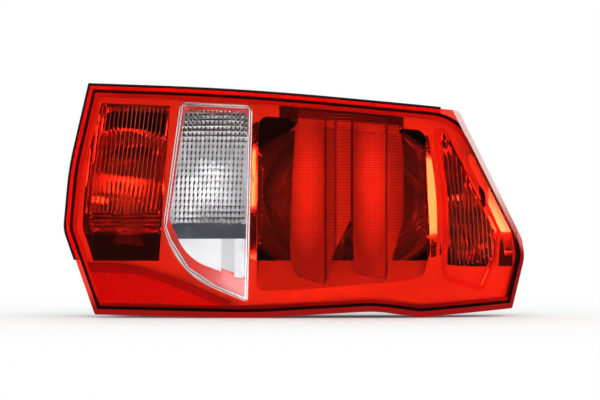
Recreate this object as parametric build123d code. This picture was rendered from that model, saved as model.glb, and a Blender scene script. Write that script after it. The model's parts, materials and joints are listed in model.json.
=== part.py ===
"""Rear combination lamp for the right-hand corner of a car: lens, reflector, housing, carrier and bulbs.

Frame: +X outboard, +Y into the vehicle, +Z up, millimetres. The lens faces -Y.
The origin is the middle of the two mounting studs, on the face that seats on the body.
Depths are measured square to the outer lens surface, from the surface into the lamp.
Front outlines are lists of corners (x, z, corner radius), clockwise as seen from the lens side.
"""

import math
import os

from build123d import *

# Outer lens surface: a gentle rear arc and a tight corner arc seen from above, crowned top to bottom
LENS_APEX = 100.0
REAR_ARC_RADIUS = 900.0
REAR_ARC_APEX_X = -10.0
CORNER_START_X = 70.0
CORNER_ARC_RADIUS = 185.0
CORNER_TURN = 40.0
CROWN_RADIUS = 2000.0

# Flange outline, which is the silhouette of the lamp
FLANGE_CORNERS = [
    (-176.0, 98.6, 2.0),
    (-45.0, 93.4, 2800.0),
    (137.5, 77.0, 6.0),
    (194.0, -32.5, 10.0),
    (196.5, -48.0, 28.0),
    (185.3, -92.3, 2.0),
    (104.2, -98.5, 4.0),
    (66.0, -93.2, 110.0),
    (-40.0, -99.0, 500.0),
    (-171.7, -96.3, 2.0),
    (-197.2, -24.0, 30.0),
    (-192.5, 28.0, 250.0),
]
FLANGE_TOP = 7.0
FLANGE_WING = 4.0
FLANGE_SIDE = 7.0
FLANGE_BOTTOM = 8.0
WING_CORNER = 2
SKIRT_WING_RADIUS = 45.0
SMALLEST_CORNER = 0.8

# Outer lens moulding
LENS_WALL = 2.8
SKIRT_WALL = 2.5
FLANGE_DEPTH = 8.0
FLANGE_WALL = 2.5
FOOT_DEPTH = 14.0
POST_RADIUS = 4.0
POST_BORE = 1.8
POST_INSET = 3.6

# Fluted optics
FLUTE_PITCH = 3.6
FLUTE_RISE = 0.75
OPTIC_DEPTH = 5.6
FOG_CORNERS = [
    (-165.5, 82.0, 4.0),
    (-107.5, 79.5, 4.0),
    (-115.5, -25.0, 4.0),
    (-182.0, -22.5, 4.0),
    (-177.5, 35.0, 200.0),
]
FOG_FLUTE_LEAN = 7.0
FOG_RIB_TOP = -10.0
FOG_RIB_PITCH = 3.8
TURN_CORNERS = [
    (114.5, 64.0, 4.0),
    (127.0, 59.5, 6.0),
    (171.5, -25.0, 14.0),
    (170.0, -50.0, 18.0),
    (158.0, -77.0, 5.0),
    (122.0, -66.0, 12.0),
    (124.5, -5.0, 300.0),
]
TURN_FRAME_WIDTH = 4.0
TURN_FRAME_DEPTH = 7.0
TURN_OPTIC_BOTTOM = -54.0
TURN_FLUTE_LEAN = -5.0

# Clear reversing window
WINDOW_CORNERS = [
    (-98.5, 83.5, 7.0),
    (-37.5, 80.5, 7.0),
    (-41.5, -85.5, 2.5),
    (-98.0, -62.0, 68.0),
    (-113.0, -22.0, 24.0),
]
WINDOW_GAP = 0.06
WINDOW_PROUD = 0.5
WINDOW_RIM_WIDTH = 2.6
WINDOW_RIM_DEPTH = 8.0
WINDOW_FRAME_WIDTH = 3.5
WINDOW_FRAME_DEPTH = 5.0
WINDOW_BLOCK_INSET = 4.0
WINDOW_BLOCK_BOTTOM = -20.0
WINDOW_BLOCK_CORNER = 7.0
WINDOW_BLOCK_FRAME = 1.6
WINDOW_BLOCK_DEPTH = 7.0
WINDOW_FLUTE_LEAN = 3.0

# Reflex reflector plate behind the lower left of the lens
REFLEX_CORNERS = [
    (-182.0, -51.5, 2.0),
    (-140.0, -53.0, 90.0),
    (-106.0, -64.0, 160.0),
    (-50.0, -87.5, 1.5),
    (-172.0, -90.0, 2.0),
]
REFLEX_THICKNESS = 5.0
BOND_GAP = 0.1

# Stop and tail inner lens: two columns, each a bowed face and a flank that meet at a ridge, joined by a web
COLUMN_CORNERS = [
    (-1.5, 67.0, 3.0),
    (88.5, 58.0, 4.0),
    (93.5, -6.0, 60.0),
    (72.5, -76.0, 2.0),
    (48.5, -64.0, 16.0),
    (46.8, -12.0, 1.5),
    (31.0, -44.0, 20.0),
    (21.5, -79.0, 2.0),
    (-3.5, -62.0, 20.0),
    (-6.2, -40.0, 50.0),
]
COLUMN_WALL = 2.4
COLUMN_RIDGE_DEPTH = 12.5
COLUMN_VALLEY_DEPTH = 22.0
COLUMN_EDGE_DEPTH = 25.0
COLUMN_RIM_DEPTH = 31.0
COLUMN_FACE_BOW = 1.5
LEFT_EDGE_X = -8.0
LEFT_RIDGE_X = 24.0
WEB_LEFT_X = 32.5
WEB_RIGHT_X = 46.5
RIGHT_RIDGE_X = 75.5
RIGHT_EDGE_X = 96.0
COLUMN_TAB_HEIGHT = 11.0
COLUMN_TAB_FRONT = 7.0
STAKE_HALF_WIDTH = 1.5
STAKE_CLEARANCE = 0.2
STAKE_EDGE = 0.5
STAKE_X = (16.0, 74.0)

# Metallised reflector: chamber mouths at the lens side and throats where the bowls start
REFLECTOR_WALL = 2.0
BEZEL_DEPTH = 9.5
BEZEL_WALL = 2.5
BEZEL_GAP = 0.5
SEAT_GAP = 0.3
MOUTH_AHEAD = 5.0
FOG_MOUTH = [
    (-160.0, 78.0, 6.0),
    (-108.5, 75.5, 6.0),
    (-117.0, -47.0, 6.0),
    (-171.0, -46.0, 6.0),
    (-177.5, -22.0, 12.0),
    (-173.5, 35.0, 150.0),
]
FOG_THROAT_INSETS = (3.0, 2.0, 20.0, 3.0, 2.0, 2.0)
WINDOW_MOUTH = [
    (-95.5, 78.0, 6.0),
    (-40.5, 75.5, 6.0),
    (-44.0, -80.0, 4.0),
    (-95.5, -58.5, 50.0),
    (-109.5, -21.0, 20.0),
]
WINDOW_THROAT = [
    (-93.0, 73.0, 6.0),
    (-43.0, 71.0, 6.0),
    (-45.5, -20.0, 4.0),
    (-92.0, -19.0, 14.0),
    (-105.0, -8.0, 12.0),
]
STOP_MOUTH = [
    (-33.0, 72.5, 8.0),
    (110.0, 60.5, 8.0),
    (115.0, -50.0, 15.0),
    (108.0, -79.5, 6.0),
    (62.0, -77.5, 80.0),
    (-35.0, -82.5, 6.0),
]
STOP_THROAT = [
    (-30.0, 70.0, 8.0),
    (107.0, 58.5, 8.0),
    (111.0, -40.0, 15.0),
    (105.0, -51.0, 6.0),
    (62.0, -49.0, 80.0),
    (-31.0, -51.0, 6.0),
]
TURN_MOUTH_INSET = 3.0
TURN_THROAT_INSET = 5.0
TURN_LEDGE_RISE = 22.0
REAR_THROAT_DEPTH = 36.0
TURN_THROAT = 48.0
BOWL_RADIUS = 82.0
TURN_BOWL_RADIUS = 62.0
STRIP_X = -58.5
STRIP_WIDTH = 11.0
STRIP_RISE = 1.2
STRIP_SPAN = (-69.0, -31.0)

# Housing
HOUSING_WALL = 2.2
CHANNEL_OUTER = 3.2
CHANNEL_INNER = 4.2
CHANNEL_FLOOR = 15.0
BACK_GAP = 6.5
BACK_WALL = 2.5
FLANGE_GAP = 0.3
RAIL_GAP = 0.25
RAIL_WALL = 1.3
RAIL_RIGHT_X = 122.0
RAIL_LEFT_Z = -50.0
RAIL_SHELF_DEPTH = 12.2
RAIL_SHELF_WALL = 1.6
SEAL_CLEARANCE = 0.1
TAPE_INSET = 0.5

# Bulbs, carrier and electrical pieces
BULB_Z = 2.0
BULB_X = {"fog": -144.0, "reversing": -70.0, "stop": 12.0, "tail": 68.0}
TURN_BULB_X = 146.0
BULB_CLEARANCE = 24.75
TURN_BULB_SEAT = 17.0
GLASS_RADIUS = 13.25
GLASS_WALL = 0.9
GLASS_CENTRE = 21.0
GLASS_SEAT = 2.0
CAP_RADIUS = 7.5
CAP_WALL = 0.5
CAP_LENGTH = 18.0
CONTACT_RADIUS = 2.5
CONTACT_LENGTH = 2.0
BAYONET_PIN_RADIUS = 1.0
BAYONET_PIN_REACH = 1.0
BAYONET_PIN_BELOW = 9.0
FIT_GAP = 0.2
BULB_HOLE_GAP = 1.25
SOCKET_WALL = 2.3
SOCKET_BELOW = 3.0
CARRIER_END = 25.0
CARRIER_HALF_HEIGHT = 24.0
CARRIER_WALL = 2.5
CARRIER_SEAL = 1.3
CARRIER_SEAL_WIDTH = 3.0
OPENING_MARGIN = 10.0
SCREW_INSET = 5.0
SCREW_SHANK_RADIUS = 1.5
SCREW_HEAD_RADIUS = 3.4
SCREW_HEAD_HEIGHT = 2.2
SCREW_LENGTH = 11.0
SCREW_BOSS_WALL = 2.4
TRACK_WIDTH = 4.0
TRACK_THICKNESS = 0.5
TRACK_SINK = 0.1
NEAR_LANE = 9.5
FAR_LANE = 16.5
EARTH_LANE = -15.0
EARTH_TAB_WIDTH = 3.0
EARTH_TAB_REACH = 8.0
CONTACT_STUB_RADIUS = 1.8
BLADE_WIDTH = 2.8
BLADE_THICKNESS = 0.8
BLADE_REACH = 10.0
BLADE_PITCH = 7.0
PLUG_X = -29.0
PLUG_LENGTH = 42.0
PLUG_HEIGHT = 18.0
PLUG_WALL = 2.0
PLUG_REACH = 16.0

# Turn bulb holder
HOLDER_FLANGE_WIDTH = 5.8
HOLDER_FLANGE_WALL = 2.5
HOLDER_SEAL = 1.2
HOLDER_HOLE_GAP = 0.95
HOLDER_GRIP_WIDTH = 12.0
HOLDER_GRIP_LENGTH = 30.0
HOLDER_BASE = 4.0
HOLDER_MOUTH = 11.0
HOLDER_BLADE_STAND = 5.0
HOLDER_BLADE_SPACING = 6.0

# Fixing to the body
STUD_SPACING = 116.0
STUD_RADIUS = 3.0
STUD_ROOT_RADIUS = 4.0
STUD_REACH = 22.0
STUD_HEAD_RADIUS = 6.5
STUD_HEAD_HEIGHT = 3.0
STUD_BOSS_RADIUS = 9.0
GASKET_MARGIN = 5.0
GASKET_WIDTH = 8.0
LOCATOR_REACH = 16.0
OUTBOARD_LOCATOR = (150.0, -56.0, 5.0)
INBOARD_LOCATOR = (-146.0, -60.0, 4.0)
VENT_PLACES = [(-118.0, 60.0), (84.0, -56.0)]
VENT_RADIUS = 3.5
VENT_BORE = 1.5
VENT_REACH = 5.0
VENT_CAP_WALL = 1.5

# Distances ahead of the seat plane, and radii, that follow from the sizes above
REAR_THROAT = LENS_APEX - REAR_THROAT_DEPTH
BULB_SEAT = LENS_APEX - BULB_CLEARANCE - GLASS_CENTRE - GLASS_RADIUS
GLASS_NECK_RADIUS = CAP_RADIUS - CAP_WALL
BULB_HOLE_RADIUS = GLASS_RADIUS + BULB_HOLE_GAP
HOLDER_HOLE_RADIUS = GLASS_RADIUS + HOLDER_HOLE_GAP
HOLDER_FLANGE_RADIUS = HOLDER_HOLE_RADIUS + HOLDER_FLANGE_WIDTH
CARRIER_LEFT_X = BULB_X["fog"] - CARRIER_END
CARRIER_RIGHT_X = BULB_X["tail"] + CARRIER_END

# Limits of working blocks, well outside the lamp
WORK_BACK = LENS_APEX
WORK_FRONT = -2 * LENS_APEX


def rear_arc_centre():
    """Centre of the rear arc, seen from above."""
    return REAR_ARC_APEX_X, REAR_ARC_RADIUS - LENS_APEX


def join_angle():
    """Angle at which the rear arc runs into the corner arc."""
    return math.asin((CORNER_START_X - REAR_ARC_APEX_X) / REAR_ARC_RADIUS)


def corner_arc_centre():
    """Centre of the corner arc, on the rear arc's radius through the join."""
    x, y = rear_arc_centre()
    shift = REAR_ARC_RADIUS - CORNER_ARC_RADIUS
    return x + shift * math.sin(join_angle()), y - shift * math.cos(join_angle())


def arc_point(centre, radius, angle):
    """Point of a plan arc, with the angle measured from straight ahead towards +X."""
    return centre[0] + radius * math.sin(angle), centre[1] - radius * math.cos(angle)


def straight_point(depth, run):
    """Point of the straight run past the corner arc, at a depth and a distance along it."""
    turn = math.radians(CORNER_TURN)
    x, y = arc_point(corner_arc_centre(), CORNER_ARC_RADIUS - depth, turn)
    return x + run * math.cos(turn), y + run * math.sin(turn)


def surface_point(x, depth):
    """Plan point at a depth behind the place where the outer surface has this x."""
    straight_x = straight_point(0, 0)[0]
    if x > straight_x:
        return straight_point(depth, (x - straight_x) / math.cos(math.radians(CORNER_TURN)))
    if x <= CORNER_START_X:
        centre = rear_arc_centre()
        radius = REAR_ARC_RADIUS
    else:
        centre = corner_arc_centre()
        radius = CORNER_ARC_RADIUS
    angle = math.asin((x - centre[0]) / radius)
    return arc_point(centre, radius - depth, angle)


def rear_arc_start():
    """Angle of the rear arc's left end, clear of the flange at every depth."""
    left = min(x for x, _, _ in FLANGE_CORNERS)
    return math.asin((left - REAR_ARC_APEX_X) / (REAR_ARC_RADIUS - LENS_APEX))


def crown_sweep():
    """Half angle of the crown in degrees, clear of the flange at every depth."""
    reach = max(abs(z) for _, z, _ in FLANGE_CORNERS)
    return math.degrees(math.asin(reach / (CROWN_RADIUS - LENS_APEX)))


def surface_curve(depth):
    """Edges of the plan curve at one depth, and its two end points."""
    rear = rear_arc_centre()
    corner = corner_arc_centre()
    start_angle = rear_arc_start()
    end_angle = math.radians(CORNER_TURN)
    join = join_angle()
    rear_radius = REAR_ARC_RADIUS - depth
    corner_radius = CORNER_ARC_RADIUS - depth
    start = arc_point(rear, rear_radius, start_angle)
    middle = arc_point(rear, rear_radius, join)
    tangent = straight_point(depth, 0)
    end = straight_point(depth, LENS_APEX)
    edges = [
        ThreePointArc(start, arc_point(rear, rear_radius, (start_angle + join) / 2), middle),
        ThreePointArc(middle, arc_point(corner, corner_radius, (join + end_angle) / 2), tangent),
        Line(tangent, end),
    ]
    return edges, start, end


def crowned(plan_face):
    """Sweep a plan face up and down about the crown axis."""
    axis = Axis((0, CROWN_RADIUS - LENS_APEX, 0), (1, 0, 0))
    sweep = crown_sweep()
    return revolve(plan_face.rotate(axis, -sweep), axis, 2 * sweep)


def layer(front, back):
    """Everything between two depths behind the outer surface."""
    front_edges, front_start, front_end = surface_curve(front)
    back_edges, back_start, back_end = surface_curve(back)
    sides = [Line(front_end, back_end), Line(back_start, front_start)]
    return crowned(make_face(Curve() + front_edges + back_edges + sides))


def behind(front):
    """Everything deeper than one depth."""
    edges, start, end = surface_curve(front)
    far_left = (start[0], WORK_BACK)
    far_right = (end[0], WORK_BACK)
    sides = [Line(end, far_right), Line(far_right, far_left), Line(far_left, start)]
    return crowned(make_face(Curve() + edges + sides))


def inset(corners, distances):
    """Move every side of an outline inwards, by one distance or by one for each side."""
    count = len(corners)
    if not isinstance(distances, (list, tuple)):
        distances = [distances] * count
    sides = []
    for index in range(count):
        x, z, _ = corners[index]
        next_x, next_z, _ = corners[(index + 1) % count]
        length = math.hypot(next_x - x, next_z - z)
        ux = (next_x - x) / length
        uz = (next_z - z) / length
        sides.append((x + uz * distances[index], z - ux * distances[index], ux, uz))
    moved = []
    for index in range(count):
        ax, az, aux, auz = sides[index - 1]
        bx, bz, bux, buz = sides[index]
        cross = aux * buz - auz * bux
        along = ((bx - ax) * buz - (bz - az) * bux) / cross
        change = (distances[index - 1] + distances[index]) / 2
        radius = corners[index][2] + math.copysign(change, cross)
        moved.append((ax + aux * along, az + auz * along, max(radius, SMALLEST_CORNER)))
    return moved


def side_x(start, end, z):
    """X of the straight side between two corners at one height."""
    return start[0] + (end[0] - start[0]) * (z - start[1]) / (end[1] - start[1])


def side_z(start, end, x):
    """Height of the straight side between two corners at one x."""
    return start[1] + (end[1] - start[1]) * (x - start[0]) / (end[0] - start[0])


def outline(corners):
    """Closed face of an outline, with an arc at every corner."""
    count = len(corners)
    starts = []
    ends = []
    middles = []
    for index in range(count):
        x, z, radius = corners[index]
        before = Vector(*corners[index - 1][:2]) - Vector(x, z)
        after = Vector(*corners[(index + 1) % count][:2]) - Vector(x, z)
        half = math.radians(before.get_angle(after)) / 2
        reach = radius / math.tan(half)
        bisector = (before.normalized() + after.normalized()).normalized()
        corner = Vector(x, z)
        starts.append(corner + before.normalized() * reach)
        ends.append(corner + after.normalized() * reach)
        middles.append(corner + bisector * (radius / math.sin(half) - radius))
    edges = []
    for index in range(count):
        edges.append(ThreePointArc(starts[index], middles[index], ends[index]))
        edges.append(Line(ends[index], starts[(index + 1) % count]))
    return make_face(Curve() + edges)


def prism(corners, front=WORK_FRONT, back=WORK_BACK):
    """Front outline run along Y between two planes."""
    return extrude(Plane.XZ.offset(-back) * outline(corners), back - front)


def slab(left, right, bottom, top, front, back):
    """Plain block from its limits along X, Z and Y."""
    size = Box(right - left, back - front, top - bottom)
    return Pos((left + right) / 2, (front + back) / 2, (bottom + top) / 2) * size


def rod(x, z, radius, front, back):
    """Round bar along Y."""
    return Pos(x, (front + back) / 2, z) * Rot(90, 0, 0) * Cylinder(radius, back - front)


def square_bar(x, z, half_width, front, back):
    """Square bar along Y."""
    return slab(x - half_width, x + half_width, z - half_width, z + half_width, front, back)


def ring(outer_corners, inner_corners, front=WORK_FRONT, back=WORK_BACK):
    """Wall between two front outlines."""
    return prism(outer_corners, front, back) - prism(inner_corners, front - 1, back + 1)


def skirt_corners():
    """Outline of the lens body, inside the flange."""
    sides = [FLANGE_TOP, FLANGE_TOP, FLANGE_WING, FLANGE_SIDE, FLANGE_SIDE]
    sides += [FLANGE_BOTTOM] * 4
    sides += [FLANGE_SIDE] * 3
    corners = inset(FLANGE_CORNERS, sides)
    x, z, _ = corners[WING_CORNER]
    corners[WING_CORNER] = (x, z, SKIRT_WING_RADIUS)
    return corners


def fluted_pad(left, right, lean):
    """Block with upright rounded flutes on its back, leaning by an angle from upright."""
    count = max(2, round((right - left) / FLUTE_PITCH))
    pitch = (right - left) / count
    front = LENS_WALL / 2
    edges = []
    for index in range(count):
        start = surface_point(left + pitch * index, OPTIC_DEPTH)
        middle = surface_point(left + pitch * (index + 0.5), OPTIC_DEPTH + FLUTE_RISE)
        end = surface_point(left + pitch * (index + 1), OPTIC_DEPTH)
        edges.append(ThreePointArc(start, middle, end))
    first = surface_point(left, OPTIC_DEPTH)
    last = surface_point(right, OPTIC_DEPTH)
    ahead = -LENS_APEX - front
    edges += [
        Line(last, (last[0], ahead)),
        Line((last[0], ahead), (first[0], ahead)),
        Line((first[0], ahead), first),
    ]
    profile = make_face(Curve() + edges)
    height = WORK_BACK - WORK_FRONT
    direction = (math.sin(math.radians(lean)), 0, math.cos(math.radians(lean)))
    start = Vector(*direction) * (-height / 2)
    return extrude(Pos(*start) * profile, height, dir=direction) & behind(front)


def pad_span(corners, lean):
    """Leftmost and rightmost x that a leaning pad needs to cover an outline."""
    slope = math.tan(math.radians(lean))
    places = [x - z * slope for x, z, _ in corners]
    return min(places) - FLUTE_PITCH, max(places) + FLUTE_PITCH


def optic(corners, lean):
    """Fluted pad trimmed to a front outline."""
    left, right = pad_span(corners, lean)
    return fluted_pad(left, right, lean) & prism(corners)


def above(corners, bottom):
    """Block over everything of an outline that is higher than a level."""
    left = min(x for x, _, _ in corners)
    right = max(x for x, _, _ in corners)
    top = max(z for _, z, _ in corners)
    return slab(left, right, bottom, top, WORK_FRONT, WORK_BACK)


def ribbed_pad(corners, top):
    """Level rounded ribs that follow the rear arc, under a height and inside an outline."""
    bottom = min(z for _, z, _ in corners)
    count = max(1, round((top - bottom) / FOG_RIB_PITCH))
    pitch = (top - bottom) / count
    front = REAR_ARC_RADIUS - LENS_WALL / 2
    back = REAR_ARC_RADIUS - OPTIC_DEPTH
    edges = []
    for index in range(count):
        low = bottom + pitch * index
        middle = (back - FLUTE_RISE, low + pitch / 2)
        edges.append(ThreePointArc((back, low), middle, (back, low + pitch)))
    edges += [
        Line((back, top), (front, top)),
        Line((front, top), (front, bottom)),
        Line((front, bottom), (back, bottom)),
    ]
    x, y = rear_arc_centre()
    start = rear_arc_start()
    outward = (math.sin(start), -math.cos(start), 0)
    across = (-math.cos(start), -math.sin(start), 0)
    profile = Plane((x, y, 0), x_dir=outward, z_dir=across) * make_face(Curve() + edges)
    pad = revolve(profile, Axis((x, y, 0), (0, 0, 1)), math.degrees(join_angle() - start))
    return pad & prism(corners) & behind(LENS_WALL / 2)


def outer_lens():
    """Red lens: front wall, skirt, glue foot, flange, fluted optics and window opening."""
    skirt = skirt_corners()
    lens = prism(skirt) & layer(0, FOOT_DEPTH)
    lens -= prism(inset(skirt, SKIRT_WALL)) & layer(LENS_WALL, FOOT_DEPTH + 1)
    flange = ring(FLANGE_CORNERS, inset(skirt, SKIRT_WALL / 2))
    lens += flange & layer(FLANGE_DEPTH, FLANGE_DEPTH + FLANGE_WALL)
    lens += optic(FOG_CORNERS, FOG_FLUTE_LEAN) & above(FOG_CORNERS, FOG_RIB_TOP)
    lens += ribbed_pad(FOG_CORNERS, FOG_RIB_TOP)
    inner_frame = inset(TURN_CORNERS, TURN_FRAME_WIDTH)
    lens += ring(TURN_CORNERS, inner_frame) & layer(LENS_WALL / 2, TURN_FRAME_DEPTH)
    lens += optic(inner_frame, TURN_FLUTE_LEAN) & above(inner_frame, TURN_OPTIC_BOTTOM)
    window_frame = inset(WINDOW_CORNERS, -WINDOW_FRAME_WIDTH)
    lens += prism(window_frame) & layer(LENS_WALL / 2, WINDOW_FRAME_DEPTH)
    lens -= prism(WINDOW_CORNERS) & layer(-1, WINDOW_RIM_DEPTH)
    return lens + corner_post()


def corner_post():
    """Hollow locating post in the upper left corner, from the front wall down to the bezel."""
    x, z, _ = inset(skirt_corners(), POST_INSET)[0]
    front = surface_point(x, LENS_WALL / 2)[1]
    tip = surface_point(x, BEZEL_DEPTH - SEAT_GAP)[1]
    post = rod(x, z, POST_RADIUS, front, tip)
    post -= rod(x, z, POST_BORE, front + LENS_WALL, tip + 1)
    return post & behind(LENS_WALL / 2)


def window_block():
    """Outline of the fluted block in the upper part of the window."""
    top_left, top_right, low_right, _, low_left = inset(WINDOW_CORNERS, WINDOW_BLOCK_INSET)
    bottom = WINDOW_BLOCK_BOTTOM
    return [
        top_left,
        top_right,
        (side_x(top_right, low_right, bottom), bottom, WINDOW_BLOCK_CORNER),
        (side_x(top_left, low_left, bottom), bottom, WINDOW_BLOCK_CORNER),
    ]


def reversing_window():
    """Clear window with a deep rim, and a framed block of upright flutes over its upper part."""
    edge = inset(WINDOW_CORNERS, WINDOW_GAP)
    window = prism(edge) & layer(-WINDOW_PROUD, LENS_WALL)
    window += ring(edge, inset(edge, WINDOW_RIM_WIDTH)) & layer(0, WINDOW_RIM_DEPTH)
    block = window_block()
    inner_block = inset(block, WINDOW_BLOCK_FRAME)
    window += ring(block, inner_block) & layer(LENS_WALL / 2, WINDOW_BLOCK_DEPTH)
    return window + optic(inner_block, WINDOW_FLUTE_LEAN)


def reflex_reflector():
    """Prismatic plate bonded behind the lens wall."""
    front = LENS_WALL + BOND_GAP
    room = prism(inset(skirt_corners(), SKIRT_WALL + BOND_GAP))
    return prism(REFLEX_CORNERS) & room & layer(front, front + REFLEX_THICKNESS)


def bowed(start, end):
    """Arc between two plan points that stands forward of the straight line."""
    middle = ((start[0] + end[0]) / 2, (start[1] + end[1]) / 2 - COLUMN_FACE_BOW)
    return ThreePointArc(start, middle, end)


def column_curve(extra):
    """Plan curve across both columns and the web, pushed back by an extra depth."""
    left_edge = surface_point(LEFT_EDGE_X, COLUMN_EDGE_DEPTH + extra)
    left_ridge = surface_point(LEFT_RIDGE_X, COLUMN_RIDGE_DEPTH + extra)
    web_left = surface_point(WEB_LEFT_X, COLUMN_VALLEY_DEPTH + extra)
    web_right = surface_point(WEB_RIGHT_X, COLUMN_VALLEY_DEPTH + extra)
    right_ridge = surface_point(RIGHT_RIDGE_X, COLUMN_RIDGE_DEPTH + extra)
    right_edge = surface_point(RIGHT_EDGE_X, COLUMN_EDGE_DEPTH + extra)
    edges = [
        bowed(left_edge, left_ridge),
        Line(left_ridge, web_left),
        Line(web_left, web_right),
        bowed(web_right, right_ridge),
        Line(right_ridge, right_edge),
    ]
    return edges, left_edge, right_edge


def behind_columns(extra, back):
    """Everything behind the column surface as far as a depth."""
    edges, first, last = column_curve(extra)
    far_right = surface_point(RIGHT_EDGE_X, back)
    far_left = surface_point(LEFT_EDGE_X, back)
    sides = [Line(last, far_right), Line(far_right, far_left), Line(far_left, first)]
    return crowned(make_face(Curve() + edges + sides))


def column_top(x):
    """Height of the columns' sloped top edge at a place across the lamp."""
    return side_z(COLUMN_CORNERS[0], COLUMN_CORNERS[1], x)


def tab_corners():
    """Outline of the fixing tab along the top of the columns."""
    left_x = COLUMN_CORNERS[0][0] + COLUMN_WALL
    right_x = COLUMN_CORNERS[1][0] - COLUMN_WALL
    return [
        (left_x, column_top(left_x) + COLUMN_TAB_HEIGHT, COLUMN_WALL / 2),
        (right_x, column_top(right_x) + COLUMN_TAB_HEIGHT, COLUMN_WALL / 2),
        (right_x, column_top(right_x) - COLUMN_WALL, COLUMN_WALL / 2),
        (left_x, column_top(left_x) - COLUMN_WALL, COLUMN_WALL / 2),
    ]


def brow_corners():
    """Outline of the wall that joins the fixing tab to the columns."""
    tab = tab_corners()
    left_x = tab[0][0]
    right_x = tab[1][0]
    return [
        (left_x, column_top(left_x), SMALLEST_CORNER),
        (right_x, column_top(right_x), SMALLEST_CORNER),
        tab[2],
        tab[3],
    ]


def stake_places():
    """Centres of the two pins that hold the inner lens on the bezel, clear of the chamber's wall."""
    rise = REFLECTOR_WALL + STAKE_EDGE + STAKE_HALF_WIDTH + STAKE_CLEARANCE
    return [(x, side_z(STOP_MOUTH[0], STOP_MOUTH[1], x) + rise) for x in STAKE_X]


def stake_tip(x):
    """Y of the end of a pin, just behind the bezel."""
    return surface_point(x, bezel_back() + STAKE_HALF_WIDTH)[1]


def stop_tail_inner_lens():
    """Two ridged columns with a web, a rim all round, and a staked tab along the top."""
    inner = inset(COLUMN_CORNERS, COLUMN_WALL)
    lens = prism(COLUMN_CORNERS) & behind_columns(0, COLUMN_RIM_DEPTH)
    lens -= prism(inner) & behind_columns(COLUMN_WALL, COLUMN_RIM_DEPTH + 1)
    lens += prism(brow_corners()) & layer(COLUMN_TAB_FRONT, COLUMN_RIM_DEPTH - COLUMN_WALL)
    lens &= pocket(inset(STOP_MOUTH, SEAT_GAP), inset(STOP_THROAT, SEAT_GAP), REAR_THROAT)
    tab_back = BEZEL_DEPTH - SEAT_GAP
    lens += prism(tab_corners()) & layer(COLUMN_TAB_FRONT, tab_back)
    for x, z in stake_places():
        front = surface_point(x, COLUMN_TAB_FRONT + COLUMN_WALL / 2)[1]
        lens += square_bar(x, z, STAKE_HALF_WIDTH, front, stake_tip(x))
    return lens


def bezel_back():
    """Depth of the bezel's rear face."""
    return BEZEL_DEPTH + BEZEL_WALL


def pocket(mouth, throat, throat_ahead):
    """Tapered hollow from a mouth outline near the lens to a throat outline."""
    mouth_face = Plane.XZ.offset(LENS_APEX - MOUTH_AHEAD) * outline(mouth)
    throat_face = Plane.XZ.offset(throat_ahead) * outline(throat)
    return loft([mouth_face, throat_face], ruled=True)


def bowl(throat, throat_ahead, radius, vertex, places, grow):
    """Round bowls behind a throat, one about each bulb, grown outwards by a wall."""
    block = prism(inset(throat, -grow), -throat_ahead, -vertex + grow)
    balls = Part()
    for x in places:
        balls += Pos(x, -vertex - radius, BULB_Z) * Sphere(radius + grow)
    return block & balls


def turn_mouth():
    """Mouth of the turn chamber, inside the frame of its optic."""
    return inset(TURN_CORNERS, TURN_MOUTH_INSET)


def turn_throat():
    """Throat of the turn chamber, raised at its lower sides to leave a bright ledge."""
    side = TURN_THROAT_INSET
    return inset(TURN_CORNERS, (side, side, side, side, TURN_LEDGE_RISE, side, side))


def chamber(mouth, throat, depths, places, grow):
    """One chamber hollow: a tapered mouth and the bowls behind it."""
    throat_ahead, radius, vertex = depths
    funnel = pocket(inset(mouth, -grow), inset(throat, -grow), throat_ahead)
    return funnel + bowl(throat, throat_ahead, radius, vertex, places, grow)


def chambers(grow):
    """Every chamber hollow by name, grown outwards by a wall."""
    rear = (REAR_THROAT, BOWL_RADIUS, BULB_SEAT)
    turn = (TURN_THROAT, TURN_BOWL_RADIUS, TURN_BULB_SEAT)
    fog_throat = inset(FOG_MOUTH, FOG_THROAT_INSETS)
    return {
        "fog": chamber(FOG_MOUTH, fog_throat, rear, [BULB_X["fog"]], grow),
        "reversing": chamber(WINDOW_MOUTH, WINDOW_THROAT, rear, [BULB_X["reversing"]], grow),
        "stop": chamber(STOP_MOUTH, STOP_THROAT, rear, [BULB_X["stop"], BULB_X["tail"]], grow),
        "turn": chamber(turn_mouth(), turn_throat(), turn, [TURN_BULB_X], grow),
    }


def marking_strip(hollow):
    """Plain raised strip on the lower ledge of the reversing chamber."""
    left = STRIP_X - STRIP_WIDTH / 2
    bottom, top = STRIP_SPAN
    band = slab(left, left + STRIP_WIDTH, bottom, top, -LENS_APEX, -REAR_THROAT - STRIP_RISE)
    return (hollow & band) - Pos(0, -STRIP_RISE, STRIP_RISE) * hollow


def reflector():
    """One metallised moulding: a bezel that follows the lens, and four chambers behind it."""
    skirt = skirt_corners()
    body = prism(inset(skirt, SKIRT_WALL + BEZEL_GAP)) & layer(BEZEL_DEPTH, bezel_back())
    for x, z in stake_places():
        body -= square_bar(x, z, STAKE_HALF_WIDTH + STAKE_CLEARANCE, WORK_FRONT, WORK_BACK)
    room = behind(BEZEL_DEPTH)
    for shell in chambers(REFLECTOR_WALL).values():
        body += shell & room
    hollows = chambers(0)
    hollows["reversing"] -= marking_strip(hollows["reversing"])
    for hollow in hollows.values():
        body -= hollow
    for x in list(BULB_X.values()) + [TURN_BULB_X]:
        body -= rod(x, BULB_Z, BULB_HOLE_RADIUS, -BULB_SEAT - BULB_HOLE_RADIUS, WORK_BACK)
    return body


def carrier_corners(margin):
    """Rectangle of the carrier plate, grown by a margin."""
    left = CARRIER_LEFT_X - margin
    right = CARRIER_RIGHT_X + margin
    top = BULB_Z + CARRIER_HALF_HEIGHT + margin
    bottom = BULB_Z - CARRIER_HALF_HEIGHT - margin
    radius = SCREW_INSET
    return [(left, top, radius), (right, top, radius), (right, bottom, radius), (left, bottom, radius)]


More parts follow.
